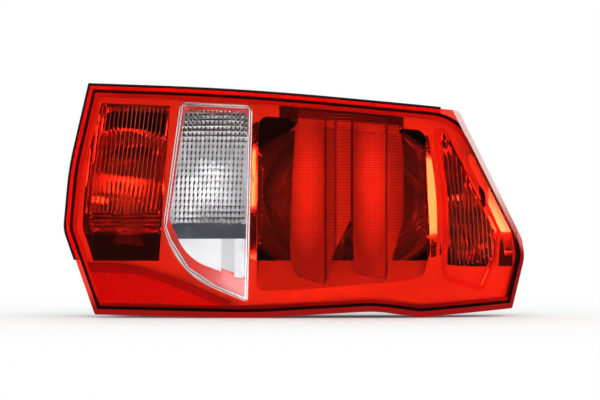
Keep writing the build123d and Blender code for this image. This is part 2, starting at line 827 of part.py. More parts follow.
def screw_places():
    """Centres of the four carrier screws."""
    places = []
    for x in (CARRIER_LEFT_X + SCREW_INSET, CARRIER_RIGHT_X - SCREW_INSET):
        for side in (-1, 1):
            places.append((x, BULB_Z + side * (CARRIER_HALF_HEIGHT - SCREW_INSET)))
    return places


def stud_places():
    """Centres of the two mounting studs."""
    return [(0, STUD_SPACING / 2), (0, -STUD_SPACING / 2)]


def housing():
    """Black tub with a glue channel round its rim, a rail outside the flange, and bosses on its back."""
    skirt = skirt_corners()
    outside = inset(skirt, -CHANNEL_OUTER)
    channel_outer_face = inset(outside, HOUSING_WALL)
    channel_inner_face = inset(skirt, CHANNEL_INNER)
    inside = inset(channel_inner_face, HOUSING_WALL)
    back = -BACK_GAP
    lip_depth = FLANGE_DEPTH + FLANGE_WALL + FLANGE_GAP
    body = ring(outside, channel_outer_face) & layer(lip_depth, CHANNEL_FLOOR + HOUSING_WALL)
    body += ring(outside, inside) & layer(CHANNEL_FLOOR, CHANNEL_FLOOR + HOUSING_WALL)
    body += ring(channel_inner_face, inside, back=back) & behind(bezel_back() + SEAT_GAP)
    body += prism(channel_inner_face, back - BACK_WALL, back)
    body += rail(channel_outer_face)
    body -= prism(carrier_corners(-OPENING_MARGIN), back - BACK_WALL - 1, back + 1)
    body -= rod(TURN_BULB_X, BULB_Z, HOLDER_HOLE_RADIUS, back - BACK_WALL - 1, back + 1)
    for x, z in screw_places():
        body += rod(x, z, SCREW_SHANK_RADIUS + SCREW_BOSS_WALL, back - SCREW_LENGTH, back)
        body -= rod(x, z, SCREW_SHANK_RADIUS, back - SCREW_LENGTH - 1, back + 1)
    for x, z in stud_places():
        body += rod(x, z, STUD_BOSS_RADIUS, back - BACK_WALL, 0)
        body -= rod(x, z, STUD_ROOT_RADIUS, back - BACK_WALL - 1, 1)
    for x, z, radius in (OUTBOARD_LOCATOR, INBOARD_LOCATOR):
        body += rod(x, z, radius, back - BACK_WALL, LOCATOR_REACH)
    for x, z in VENT_PLACES:
        body += rod(x, z, VENT_RADIUS, back - BACK_WALL, back + VENT_REACH)
        body -= rod(x, z, VENT_BORE, back - BACK_WALL - 1, back + VENT_REACH + 1)
    return body


def rail_zone():
    """Block over the top edge and the upper left edge, where the rail stands."""
    left = min(x for x, _, _ in FLANGE_CORNERS) - 2 * RAIL_WALL
    top = max(z for _, z, _ in FLANGE_CORNERS) + 2 * RAIL_WALL
    return slab(left, RAIL_RIGHT_X, RAIL_LEFT_Z, top, WORK_FRONT, WORK_BACK)


def rail(shelf_inner_face):
    """Thin wall outside the flange, on a shelf that runs back to the glue channel."""
    rail_inner_face = inset(FLANGE_CORNERS, -RAIL_GAP)
    rail_outer_face = inset(rail_inner_face, -RAIL_WALL)
    shelf_back = RAIL_SHELF_DEPTH + RAIL_SHELF_WALL
    wall = ring(rail_outer_face, rail_inner_face) & layer(FLANGE_DEPTH, shelf_back)
    shelf = ring(rail_outer_face, shelf_inner_face) & layer(RAIL_SHELF_DEPTH, shelf_back)
    return (wall + shelf) & rail_zone()


def lens_seal():
    """Bead that fills the glue channel round the foot of the lens."""
    skirt = skirt_corners()
    outer = inset(skirt, HOUSING_WALL - CHANNEL_OUTER + SEAL_CLEARANCE)
    inner = inset(skirt, CHANNEL_INNER - SEAL_CLEARANCE)
    bead = ring(outer, inner) & layer(bezel_back() + SEAT_GAP, CHANNEL_FLOOR - SEAL_CLEARANCE)
    foot = ring(inset(skirt, -SEAL_CLEARANCE), inset(skirt, SKIRT_WALL + SEAL_CLEARANCE))
    return bead - (foot & layer(0, FOOT_DEPTH + SEAL_CLEARANCE))


def flange_tape():
    """Pale foam strip between the flange and the rail's shelf."""
    outer = inset(FLANGE_CORNERS, TAPE_INSET)
    inner = inset(skirt_corners(), -CHANNEL_OUTER - SEAL_CLEARANCE)
    front = FLANGE_DEPTH + FLANGE_WALL + SEAL_CLEARANCE
    return ring(outer, inner) & layer(front, RAIL_SHELF_DEPTH - SEAL_CLEARANCE) & rail_zone()


def on_bulb_axis(shape, x, seat):
    """Stand a shape made along +Z on a bulb seat, pointing at the lens."""
    return Plane((x, -seat, BULB_Z), x_dir=(1, 0, 0), z_dir=(0, -1, 0)) * shape


def bulb_profile(shrink):
    """Half section of the glass, made smaller by a shrink."""
    radius = GLASS_RADIUS - shrink
    neck = GLASS_NECK_RADIUS - shrink
    join = GLASS_CENTRE - math.sqrt(radius**2 - neck**2)
    edges = [
        Line((0, -GLASS_SEAT), (neck, -GLASS_SEAT)),
        Line((neck, -GLASS_SEAT), (neck, join)),
        ThreePointArc((neck, join), (radius, GLASS_CENTRE), (0, GLASS_CENTRE + radius)),
        Line((0, GLASS_CENTRE + radius), (0, -GLASS_SEAT)),
    ]
    return revolve(Plane.XZ * make_face(Curve() + edges), Axis.Z)


def bulb_glass():
    """Hollow glass envelope with an open neck."""
    return bulb_profile(0) - bulb_profile(GLASS_WALL)


def bulb_cap():
    """Metal bayonet cap with two side pins and a solder contact."""
    cap = Pos(0, 0, -CAP_LENGTH / 2) * Cylinder(CAP_RADIUS, CAP_LENGTH)
    cap -= Pos(0, 0, -GLASS_SEAT / 2) * Cylinder(GLASS_NECK_RADIUS + SEAL_CLEARANCE, GLASS_SEAT)
    pins = Rot(0, 90, 0) * Cylinder(BAYONET_PIN_RADIUS, 2 * (CAP_RADIUS + BAYONET_PIN_REACH))
    cap += Pos(0, 0, -BAYONET_PIN_BELOW) * pins
    cap += Pos(0, 0, -CAP_LENGTH - CONTACT_LENGTH / 2) * Cylinder(CONTACT_RADIUS, CONTACT_LENGTH)
    return cap


def bulb_filament():
    """Glass-bead stem with two lead wires and a level filament."""
    stem_radius = GLASS_NECK_RADIUS / 3
    stem_height = GLASS_NECK_RADIUS
    wire_radius = GLASS_WALL / 2
    spread = GLASS_NECK_RADIUS / 4
    stem = Pos(0, 0, stem_height / 2 - GLASS_SEAT) * Cylinder(stem_radius, stem_height)
    wire_height = GLASS_CENTRE + wire_radius
    for side in (-1, 1):
        stem += Pos(side * spread, 0, wire_height / 2) * Cylinder(wire_radius, wire_height)
    stem += Pos(0, 0, GLASS_CENTRE) * Rot(0, 90, 0) * Cylinder(wire_radius, 3 * stem_radius)
    return stem


def socket_bore():
    """Radius of a socket, a running fit on the bulb cap."""
    return CAP_RADIUS + FIT_GAP


def socket_slots():
    """Straight slots for the bayonet pins, on a socket made along +Z."""
    width = 2 * (BAYONET_PIN_RADIUS + FIT_GAP)
    length = 2 * (socket_bore() + SOCKET_WALL + 1)
    height = BAYONET_PIN_BELOW + BAYONET_PIN_RADIUS + FIT_GAP
    return Pos(0, 0, -height / 2) * Box(length, width, height)


def plate_front():
    """Y of the carrier plate's face towards the lamp."""
    return -BACK_GAP + CARRIER_SEAL


def plate_back():
    """Y of the carrier plate's outer face."""
    return plate_front() + CARRIER_WALL


def socket(seat, foot):
    """Socket tube along +Z for a bulb at one seat, down to a foot plane at y = foot."""
    depth = seat + foot
    height = depth - SOCKET_BELOW
    tube = Pos(0, 0, -SOCKET_BELOW - height / 2) * Cylinder(socket_bore() + SOCKET_WALL, height)
    tube -= Pos(0, 0, -depth / 2) * Cylinder(socket_bore(), depth)
    return tube - socket_slots()


def earth_notch():
    """Groove in a socket wall for the earth tab, along +Z."""
    width = EARTH_TAB_WIDTH + 2 * FIT_GAP
    depth = TRACK_THICKNESS + 2 * FIT_GAP
    return Pos(0, -CAP_RADIUS - depth / 2, -BULB_SEAT / 2) * Box(width, depth, BULB_SEAT + CAP_LENGTH)


def lane(start_x, end_x, z):
    """Level strip of a conductor track."""
    half = TRACK_WIDTH / 2
    left = min(start_x, end_x) - half
    right = max(start_x, end_x) + half
    back = plate_back() - TRACK_SINK
    return slab(left, right, BULB_Z + z - half, BULB_Z + z + half, back - TRACK_THICKNESS, back)


def riser(x, start_z, end_z):
    """Upright strip of a conductor track."""
    half = TRACK_WIDTH / 2
    bottom = BULB_Z + min(start_z, end_z) - half
    top = BULB_Z + max(start_z, end_z) + half
    back = plate_back() - TRACK_SINK
    return slab(x - half, x + half, bottom, top, back - TRACK_THICKNESS, back)


def blade(x, z, back_start, reach):
    """Flat connector blade that stands out backwards."""
    half = BLADE_WIDTH / 2
    thick = BLADE_THICKNESS / 2
    return slab(x - half, x + half, BULB_Z + z - thick, BULB_Z + z + thick, back_start, reach)


def blade_x(order):
    """Place of a connector blade, counted from the middle of the plug."""
    return PLUG_X + order * BLADE_PITCH


def signal_strip(name, order, lane_z):
    """Flat part of the track from one bulb to its blade."""
    return riser(BULB_X[name], 0, lane_z) + lane(BULB_X[name], blade_x(order), lane_z)


def earth_strip():
    """Flat part of the earth track, along all four sockets and up to its blade."""
    strip = lane(BULB_X["fog"], BULB_X["tail"], EARTH_LANE)
    for x in BULB_X.values():
        strip += riser(x, EARTH_LANE, -CAP_RADIUS - TRACK_WIDTH / 2)
    return strip + riser(PLUG_X, EARTH_LANE, (NEAR_LANE + FAR_LANE) / 2)


SIGNALS = {
    "fog": (-2, FAR_LANE),
    "reversing": (-1, NEAR_LANE),
    "stop": (1, NEAR_LANE),
    "tail": (2, FAR_LANE),
}


def signal_track(name):
    """One track: strip, contact under its bulb, and connector blade."""
    order, lane_z = SIGNALS[name]
    start = plate_back() - TRACK_SINK - TRACK_THICKNESS
    track = signal_strip(name, order, lane_z)
    contact_front = -BULB_SEAT + CAP_LENGTH + CONTACT_LENGTH
    track += rod(BULB_X[name], BULB_Z, CONTACT_STUB_RADIUS, contact_front, start + TRACK_THICKNESS)
    return track + blade(blade_x(order), lane_z, start, BLADE_REACH)


def earth_track():
    """Earth track with a tab up the side of each bulb cap."""
    start = plate_back() - TRACK_SINK - TRACK_THICKNESS
    track = earth_strip()
    tab_front = -BULB_SEAT + EARTH_TAB_REACH
    tab_top = BULB_Z - CAP_RADIUS - FIT_GAP
    tab_bottom = tab_top - TRACK_THICKNESS
    tab_back = start + TRACK_THICKNESS
    half = EARTH_TAB_WIDTH / 2
    for x in BULB_X.values():
        track += slab(x - half, x + half, tab_bottom, tab_top, tab_front, tab_back)
    return track + blade(PLUG_X, (NEAR_LANE + FAR_LANE) / 2, start, BLADE_REACH)


def all_strips():
    """Flat parts of every track."""
    strips = [signal_strip(name, order, lane_z) for name, (order, lane_z) in SIGNALS.items()]
    return strips + [earth_strip()]


def bulb_carrier():
    """Plate with four sockets, sunk conductor grooves and a connector shroud."""
    front = plate_front()
    back = plate_back()
    carrier = prism(carrier_corners(0), front, back)
    for x in BULB_X.values():
        carrier += on_bulb_axis(socket(BULB_SEAT, front), x, BULB_SEAT)
    plug_z = BULB_Z + (NEAR_LANE + FAR_LANE) / 2
    left = PLUG_X - PLUG_LENGTH / 2
    right = PLUG_X + PLUG_LENGTH / 2
    bottom = plug_z - PLUG_HEIGHT / 2
    top = plug_z + PLUG_HEIGHT / 2
    wall = PLUG_WALL
    shroud = slab(left, right, bottom, top, back, PLUG_REACH)
    shroud -= slab(left + wall, right - wall, bottom + wall, top - wall, back, PLUG_REACH + 1)
    carrier += shroud
    for x in BULB_X.values():
        carrier -= rod(x, BULB_Z, CONTACT_STUB_RADIUS + FIT_GAP, front - 1, back + 1)
        carrier -= on_bulb_axis(earth_notch(), x, BULB_SEAT)
    for strip in all_strips():
        carrier -= strip
        carrier -= Pos(0, TRACK_SINK, 0) * strip
    for x, z in screw_places():
        carrier -= rod(x, z, SCREW_SHANK_RADIUS + FIT_GAP, front - 1, back + 1)
    return carrier


def carrier_seal():
    """Flat rubber ring round the opening in the housing's back."""
    inner = carrier_corners(-OPENING_MARGIN)
    outer = inset(inner, -CARRIER_SEAL_WIDTH)
    return ring(outer, inner, -BACK_GAP, plate_front())


def carrier_screws():
    """Four self-tapping screws that hold the carrier."""
    screws = []
    for x, z in screw_places():
        screw = rod(x, z, SCREW_HEAD_RADIUS, plate_back(), plate_back() + SCREW_HEAD_HEIGHT)
        screw += rod(x, z, SCREW_SHANK_RADIUS, plate_back() - SCREW_LENGTH, plate_back())
        screws.append(screw)
    return screws


def holder_flange_front():
    """Y of the turn holder's flange face towards the lamp."""
    return -BACK_GAP + HOLDER_SEAL


def holder_floor():
    """Y of the turn holder's socket floor, where the bulb's contact meets its terminal."""
    return -TURN_BULB_SEAT + CAP_LENGTH + CONTACT_LENGTH


def holder_mouth_floor():
    """Y of the floor of the turn holder's plug mouth."""
    return holder_floor() + HOLDER_BASE


def holder_back():
    """Y of the turn holder's rearmost face."""
    return holder_mouth_floor() + HOLDER_MOUTH


def turn_bulb_holder():
    """Twist-in holder: socket, sealing flange, and finger grip with a plug mouth in its end."""
    front = holder_flange_front()
    back = front + HOLDER_FLANGE_WALL
    x = TURN_BULB_X
    socket_front = -TURN_BULB_SEAT + SOCKET_BELOW
    holder = rod(x, BULB_Z, HOLDER_FLANGE_RADIUS, front, back)
    holder += rod(x, BULB_Z, socket_bore() + SOCKET_WALL, socket_front, holder_mouth_floor())
    length = HOLDER_GRIP_LENGTH / 2
    width = HOLDER_GRIP_WIDTH / 2
    holder += slab(x - length, x + length, BULB_Z - width, BULB_Z + width, back, holder_back())
    holder -= rod(x, BULB_Z, socket_bore(), -TURN_BULB_SEAT, holder_floor())
    holder -= on_bulb_axis(socket_slots(), x, TURN_BULB_SEAT)
    for place in holder_blade_places():
        holder -= holder_blade(place, FIT_GAP)
    length = HOLDER_BLADE_SPACING / 2 + BLADE_WIDTH
    width -= PLUG_WALL
    bottom = BULB_Z - width
    top = BULB_Z + width
    return holder - slab(x - length, x + length, bottom, top, holder_mouth_floor(), holder_back() + 1)


def holder_blade_places():
    """X of the two terminals of the turn holder."""
    return [TURN_BULB_X - HOLDER_BLADE_SPACING / 2, TURN_BULB_X + HOLDER_BLADE_SPACING / 2]


def holder_blade(x, grow):
    """One terminal of the turn holder, grown by a clearance."""
    half = BLADE_WIDTH / 2 + grow
    thick = BLADE_THICKNESS / 2 + grow
    front = holder_floor() - grow
    back = holder_mouth_floor() + HOLDER_BLADE_STAND
    return slab(x - half, x + half, BULB_Z - thick, BULB_Z + thick, front, back)


def turn_terminals():
    """Two blades through the turn holder's floor."""
    return [holder_blade(x, 0) for x in holder_blade_places()]


def turn_holder_seal():
    """Rubber ring under the turn holder's flange."""
    outer = rod(TURN_BULB_X, BULB_Z, HOLDER_FLANGE_RADIUS, -BACK_GAP, holder_flange_front())
    return outer - rod(TURN_BULB_X, BULB_Z, HOLDER_HOLE_RADIUS, -BACK_GAP - 1, 0)


def mounting_studs():
    """Two steel studs with thick roots in the bosses and heads inside the housing's back."""
    studs = []
    inside = -BACK_GAP - BACK_WALL
    for x, z in stud_places():
        stud = rod(x, z, STUD_RADIUS, 0, STUD_REACH)
        stud += rod(x, z, STUD_ROOT_RADIUS, inside, 0)
        stud += rod(x, z, STUD_HEAD_RADIUS, inside - STUD_HEAD_HEIGHT, inside)
        studs.append(stud)
    return studs


def body_gasket():
    """Foam ring round the carrier, which seals against the body."""
    inner = carrier_corners(GASKET_MARGIN)
    return ring(inset(inner, -GASKET_WIDTH), inner, -BACK_GAP, 0)


def vent_caps():
    """Two rubber caps over the vent nipples."""
    caps = []
    for x, z in VENT_PLACES:
        tip = -BACK_GAP + VENT_REACH
        cap = rod(x, z, VENT_RADIUS + VENT_CAP_WALL, -BACK_GAP + VENT_CAP_WALL, tip + VENT_CAP_WALL)
        caps.append(cap - rod(x, z, VENT_RADIUS, -BACK_GAP, tip))
    return caps


def export(name, shapes):
    """Write one node."""
    if not isinstance(shapes, list):
        shapes = [shapes]
    solids = []
    for shape in shapes:
        solids += shape.solids()
    os.makedirs("parts", exist_ok=True)
    result = solids[0] if len(solids) == 1 else Compound(children=solids)
    export_step(result, os.path.join("parts", name + ".step"))


def export_bulb(name, x, seat):
    """Write the three nodes of one bulb."""
    export(name + "_bulb_glass", on_bulb_axis(bulb_glass(), x, seat))
    export(name + "_bulb_cap", on_bulb_axis(bulb_cap(), x, seat))
    export(name + "_bulb_filament", on_bulb_axis(bulb_filament(), x, seat))


def main():
    """Build and write every node."""
    export("outer_lens", outer_lens())
    export("reversing_window", reversing_window())
    export("reflex_reflector", reflex_reflector())
    export("stop_tail_inner_lens", stop_tail_inner_lens())
    export("reflector", reflector())
    export("housing", housing())
    export("lens_seal", lens_seal())
    export("flange_tape", flange_tape())
    export("bulb_carrier", bulb_carrier())
    export("carrier_seal", carrier_seal())
    export("carrier_screws", carrier_screws())
    export("earth_track", earth_track())
    for name in SIGNALS:
        export(name + "_track", signal_track(name))
        export_bulb(name, BULB_X[name], BULB_SEAT)
    export_bulb("turn", TURN_BULB_X, TURN_BULB_SEAT)
    export("turn_bulb_holder", turn_bulb_holder())
    export("turn_holder_seal", turn_holder_seal())
    export("turn_terminals", turn_terminals())
    export("mounting_studs", mounting_studs())
    export("body_gasket", body_gasket())
    export("vent_caps", vent_caps())


main()
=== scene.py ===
import json
import math

import bpy
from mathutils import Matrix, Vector


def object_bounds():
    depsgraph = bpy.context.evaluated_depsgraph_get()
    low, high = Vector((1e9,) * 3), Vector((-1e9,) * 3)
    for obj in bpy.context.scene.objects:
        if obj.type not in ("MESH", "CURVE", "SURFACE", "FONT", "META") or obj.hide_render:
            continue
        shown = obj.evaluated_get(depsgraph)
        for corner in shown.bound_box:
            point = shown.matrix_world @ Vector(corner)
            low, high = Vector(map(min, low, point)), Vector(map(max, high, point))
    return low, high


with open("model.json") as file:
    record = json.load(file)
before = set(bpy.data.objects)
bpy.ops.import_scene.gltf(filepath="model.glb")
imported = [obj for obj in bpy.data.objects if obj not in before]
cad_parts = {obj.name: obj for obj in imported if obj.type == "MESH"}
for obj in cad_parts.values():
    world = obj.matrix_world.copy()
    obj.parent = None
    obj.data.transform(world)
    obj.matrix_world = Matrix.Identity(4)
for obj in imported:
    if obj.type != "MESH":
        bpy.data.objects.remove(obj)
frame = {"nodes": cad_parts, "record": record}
cad_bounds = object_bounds()

# Lengths are in metres, light angles in degrees and colours linear

# Camera at the photograph's angle, square-on to the lens
IMAGE_WIDTH_AT_LAMP = 0.510
CAMERA_DISTANCE = 3.0
CAMERA_AIM = Vector((0.0025, -0.07, 0.0009))
SENSOR_WIDTH = 36.0

# Outer surface of the lamp: two arcs and a straight run seen from above, turned about a level axis
CROWN_AXIS_Y = 1.9
REAR_RADIUS = 0.9
REAR_CENTRE = (-0.010, 0.800)
CORNER_RADIUS = 0.185
CORNER_START_X = 0.070
CORNER_TURN = math.radians(40)
JOIN_TURN = math.asin((CORNER_START_X - REAR_CENTRE[0]) / REAR_RADIUS)
CORNER_CENTRE = (REAR_CENTRE[0] + (REAR_RADIUS - CORNER_RADIUS) * math.sin(JOIN_TURN),
                 REAR_CENTRE[1] - (REAR_RADIUS - CORNER_RADIUS) * math.cos(JOIN_TURN))

# Depths behind that surface
FLANGE_FRONT = 0.0065
BEZEL_FACE = 0.0099
OPTIC_BACK = 0.0036

# Outlines seen from the front, clockwise: where the bezel is polished too
WINDOW_OUTLINE = [(-0.0985, 0.0835), (-0.0375, 0.0805), (-0.0415, -0.0855), (-0.0708, -0.0733),
                  (-0.0936, -0.0578), (-0.1084, -0.0344), (-0.1130, -0.0220)]
FOG_OUTLINE = [(-0.1655, 0.0830), (-0.1075, 0.0805), (-0.1165, -0.0505), (-0.1725, -0.0505),
               (-0.1820, -0.0225), (-0.1775, 0.0350)]
BROW_OUTLINE = [(-0.0150, 0.0820), (0.0900, 0.0720), (0.0900, 0.0560), (-0.0150, 0.0660)]
TURN_OUTLINE = [(0.1165, 0.0610), (0.1260, 0.0570), (0.1690, -0.0250), (0.1670, -0.0490),
                (0.1570, -0.0540), (0.1250, -0.0540), (0.1265, -0.0050)]
GLINT_OUTLINE = [(0.1430, 0.0400), (0.1520, 0.0400), (0.1860, -0.0260), (0.1740, -0.0260)]
BLOT_OUTLINE = [(0.1740, -0.0260), (0.1860, -0.0260), (0.1840, -0.0560), (0.1720, -0.0560)]
STOP_LEFT_OUTLINE = [(-0.0385, 0.0640), (-0.0325, 0.0680), (-0.0345, -0.0500), (-0.0400, -0.0480)]
STOP_RIGHT_OUTLINE = [(0.1080, 0.0560), (0.1135, 0.0540), (0.1225, -0.0450), (0.1135, -0.0480)]
POLISHED_OUTLINES = [WINDOW_OUTLINE, FOG_OUTLINE, BROW_OUTLINE, TURN_OUTLINE, GLINT_OUTLINE, BLOT_OUTLINE,
                     STOP_LEFT_OUTLINE, STOP_RIGHT_OUTLINE]

# Places on the reflector: its ledges, the plain strip, and the lines of painted shade and painted red
# reflection that run inside the window's outline
WINDOW_LEDGE_TOP = -0.032
FOG_LEDGE_TOP = -0.0285
STOP_LEDGE_TOP = -0.0505
STOP_SIDES = (-0.040, 0.118)
THROAT_Y = -0.062
STRIP_SIDES = (-0.0640, -0.0530)
STRIP_BOTTOM = -0.069
RIM_LINE = (0.0008, 0.0020)
RIM_RED_FROM = 0.0027

# Colours and polish of the reflector
BEZEL_SILVER = (0.60, 0.60, 0.61, 1)
LEDGE_WHITE = (0.92, 0.92, 0.93, 1)
STRIP_GREY = (0.66, 0.66, 0.68, 1)
# painted reflection: a darker mirror colour for the fog's lower ledge
FOG_LEDGE_DARK_REFLECTION = (0.32, 0.32, 0.35, 1)
# painted shade: dark band in the window's chamber above its ledge
WINDOW_BAND_SHADE = (0.16, 0.18, 0.22, 1)
# painted shade and painted red reflection on the rim inside the window
RIM_SHADE_GREY = (0.22, 0.22, 0.23, 1)
RIM_RED_REFLECTION = (0.62, 0.022, 0.015, 1)
BEZEL_SATIN = 0.25
WINDOW_SATIN = 0.12
WINDOW_METAL = 0.62
COAT_UNEVENNESS = (0.02, 0.06)

# Outer lens: deeper red on the flange, with painted shade at its foot and right end, and a nearly clear wing
LENS_RED = (0.98, 0.125, 0.06, 1)
FLANGE_RED = (0.94, 0.050, 0.030, 1)
# painted shade: colour of the flange at its foot and right end
FLANGE_FOOT_SHADE = (0.36, 0.006, 0.006, 1)
WING_PINK = (0.98, 0.70, 0.66, 1)
PLASTIC_IOR = 1.49
LENS_ROUGHNESS = 0.02
LOW_FLANGE_FADE = (-0.090, -0.075)
END_FLANGE_ACROSS = (0.165, 0.180)
END_FLANGE_FADE = (-0.045, -0.025)
WING_TOP = (0.1375, 0.077)
WING_OUTWARD = (0.8887, 0.4586)
WING_WIDTH = 0.0045
WING_FADE = (-0.05, 0.01)
WING_TRANSMISSION = 0.12

# Clear window with rows of pillows
CLEAR = (0.97, 0.98, 0.985, 1)
WINDOW_BLOCK_BOTTOM = -0.0195
PILLOW_ROW = 0.0051
PILLOW_HEIGHT = 0.0011

# Inner lens: its moulded patterns, and the painted light and shade on its two columns: a painted glow in the
# middle of each, painted shade in the grooves, under the brow and along the ridges
COLUMN_PALE = (0.99, 0.95, 0.85, 1)
# painted shade: colour the columns take away from their painted glow
COLUMN_SHADE = (0.07, 0.006, 0.004, 1)
COLUMN_ROUGHNESS = 0.2
COLUMN_TRANSMISSION = 0.12
COLUMN_GRID = 0.0019
COLUMN_LADDER = 0.0026
COLUMN_DIAMOND = 0.0034
COLUMN_TIP_TOP = -0.056
COLUMN_FLANKS = ((0.024, 0.0465), (0.0755, 0.096))
COLUMN_PATTERN_HEIGHT = 0.0003
COLUMN_GROOVE_SHARE = 0.4
COLUMN_GROOVE_EDGE = 0.45
COLUMN_GLOWS = ((0.0085, 0.014), (0.0630, 0.016))
COLUMN_GLOW_SIZE = (0.0135, 0.052)
COLUMN_GLOW_FADE = (0.35, 1.25)
COLUMN_DIM_SHARE = 0.36
FAR_FROM_GLOW = 10.0
BROW_HEIGHT = 0.0690
BROW_SLOPE = 0.07
BROW_FADE = 0.002
COLUMN_RIDGES = (-0.008, 0.024, 0.0325, 0.0465, 0.0755, 0.096)
RIDGE_FADE = (0.0004, 0.0016)
RIDGE_SHARE = 0.1

# Prism plate: its upper edge, closed far below it, the band of dots along that edge, and the painted light
# and shade on its facets
REFLEX_TOP = [(-0.300, -0.0537), (-0.137, -0.0561), (-0.111, -0.0638), (-0.051, -0.0884), (0.100, -0.160),
              (-0.300, -0.200)]
REFLEX_BAND = 0.0050
REFLEX_DOT = 0.0017
REFLEX_PRISM = 0.0029
REFLEX_PRISM_HEIGHT = 0.0003
REFLEX_ROUGHNESS = 0.3
REFLEX_SHADE = (0.14, 0.002, 0.002, 1)
# painted shade and painted light of the facets
REFLEX_DARK = (0.34, 0.004, 0.004, 1)
REFLEX_LIT_FACET = (0.70, 0.012, 0.010, 1)

# Pieces behind the lens
HOUSING_BLACK = (0.009, 0.009, 0.010, 1)
CARRIER_GREY = (0.3, 0.31, 0.32, 1)
RUBBER_BLACK = (0.02, 0.02, 0.021, 1)
FOAM_PALE = (0.86, 0.85, 0.83, 1)
BRASS = (0.75, 0.56, 0.25, 1)
STEEL = (0.62, 0.62, 0.6, 1)
CAP_METAL = (0.7, 0.66, 0.56, 1)
FILAMENT_GREY = (0.35, 0.35, 0.36, 1)
GLASS_GREY = (0.8, 0.82, 0.84, 1)
GLASS_ROUGHNESS = 0.03
GLASS_COVER = (0.08, 0.14)
GRAINS_PER_PATCH = 8
GRAIN_STRENGTH = 0.4

# Studio: white surroundings and floor, a dark tent before the lamp, and lights in front of the tent
WHITE = (1, 1, 1, 1)
FLOOR_SIZE = 40
DARK = 0.05
TENT_DISTANCE = 1.8
TENT_AZIMUTHS = (-85, 85)
TENT_ELEVATIONS = (-85, 62)
TENT_FILL = 1.3
LIGHT_DISTANCE = 1.5
PATCH_STEPS = 16
LENS_FACES_IN_AND_OUT = 4
LIGHT_BOUNCES = 9


def new_material(name):
    """Material with a Principled shader; gives the material, its tree and the shader."""
    material = bpy.data.materials.new(name)
    material.use_nodes = True
    tree = material.node_tree
    return material, tree, tree.nodes["Principled BSDF"]


def feed(tree, socket, value):
    """Put a number or another node's output into a socket."""
    if isinstance(value, (int, float)):
        socket.default_value = value
    else:
        tree.links.new(value, socket)


def calc(tree, operation, first, second=0.0):
    """One step of arithmetic."""
    node = tree.nodes.new("ShaderNodeMath")
    node.operation = operation
    feed(tree, node.inputs[0], first)
    feed(tree, node.inputs[1], second)
    return node.outputs[0]


def length(tree, across, along):
    """Length of a line from its two parts."""
    squares = calc(tree, "ADD", calc(tree, "POWER", across, 2), calc(tree, "POWER", along, 2))
    return calc(tree, "SQRT", squares)


def product(tree, *values):
    """Product of values; of conditions, 1 where all of them hold."""
    result = values[0]
    for value in values[1:]:
        result = calc(tree, "MULTIPLY", result, value)
    return result


def any_of(tree, *values):
    """Greatest of values; of conditions, 1 where any of them holds."""
    result = values[0]
    for value in values[1:]:
        result = calc(tree, "MAXIMUM", result, value)
    return result


def opposite(tree, condition):
    """1 where a condition does not hold, else 0."""
    return calc(tree, "SUBTRACT", 1, condition)


def choose(tree, second_holds, first, second):
    """The first value, or the second where its condition is 1."""
    kept = product(tree, first, opposite(tree, second_holds))
    return calc(tree, "ADD", kept, product(tree, second, second_holds))


def between(tree, value, low, high):
    """1 where a value lies between two others, else 0."""
    return product(tree, calc(tree, "GREATER_THAN", value, low), calc(tree, "LESS_THAN", value, high))


def spread(tree, value, low, high, start=0.0, end=1.0):
    """Map a value from the range start to end onto low to high, without leaving it."""
    mapping = tree.nodes.new("ShaderNodeMapRange")
    mapping.inputs["From Min"].default_value = start
    mapping.inputs["From Max"].default_value = end
    mapping.inputs["To Min"].default_value = low
    mapping.inputs["To Max"].default_value = high
    tree.links.new(value, mapping.inputs["Value"])
    return mapping.outputs["Result"]


def blend(tree, share, first, second):
    """Colour that goes from the first to the second with the share."""
    node = tree.nodes.new("ShaderNodeMix")
    node.data_type = "RGBA"
    tree.links.new(share, node.inputs["Factor"])
    for socket, colour in ((node.inputs[6], first), (node.inputs[7], second)):
        if isinstance(colour, tuple):
            socket.default_value = colour
        else:
            tree.links.new(colour, socket)
    return node.outputs[2]


def noise(tree, scale):
    """Noise over the object's own coordinates."""
    coordinates = tree.nodes.new("ShaderNodeTexCoord")
    texture = tree.nodes.new("ShaderNodeTexNoise")
    texture.inputs["Scale"].default_value = scale
    tree.links.new(coordinates.outputs["Object"], texture.inputs["Vector"])
    return texture.outputs["Fac"]


def ripple(tree, value, pitch):
    """Rounded ridges, 0 to 1, along a value."""
    return calc(tree, "ABSOLUTE", calc(tree, "SINE", calc(tree, "MULTIPLY", value, math.pi / pitch)))


def diamonds(tree, x, z, pitch):
    """Rounded diamonds, 0 to 1, from two sets of slanting ridges."""
    rising = ripple(tree, calc(tree, "ADD", x, z), pitch)
    falling = ripple(tree, calc(tree, "SUBTRACT", x, z), pitch)
    return product(tree, rising, falling)


def bump(tree, shader, height, strength, distance):
    """Raise the surface by a height value."""
    node = tree.nodes.new("ShaderNodeBump")
    node.inputs["Strength"].default_value = strength
    node.inputs["Distance"].default_value = distance
    tree.links.new(height, node.inputs["Height"])
    tree.links.new(node.outputs["Normal"], shader.inputs["Normal"])


def place(tree):
    """The x, y and z of a point on the object."""
    coordinates = tree.nodes.new("ShaderNodeTexCoord")
    split = tree.nodes.new("ShaderNodeSeparateXYZ")
    tree.links.new(coordinates.outputs["Object"], split.inputs["Vector"])
    return split.outputs["X"], split.outputs["Y"], split.outputs["Z"]


def offset_from(tree, x, y, centre):
    """How far a point lies outboard of a centre, and how far in front of it."""
    return calc(tree, "SUBTRACT", x, centre[0]), calc(tree, "SUBTRACT", centre[1], y)


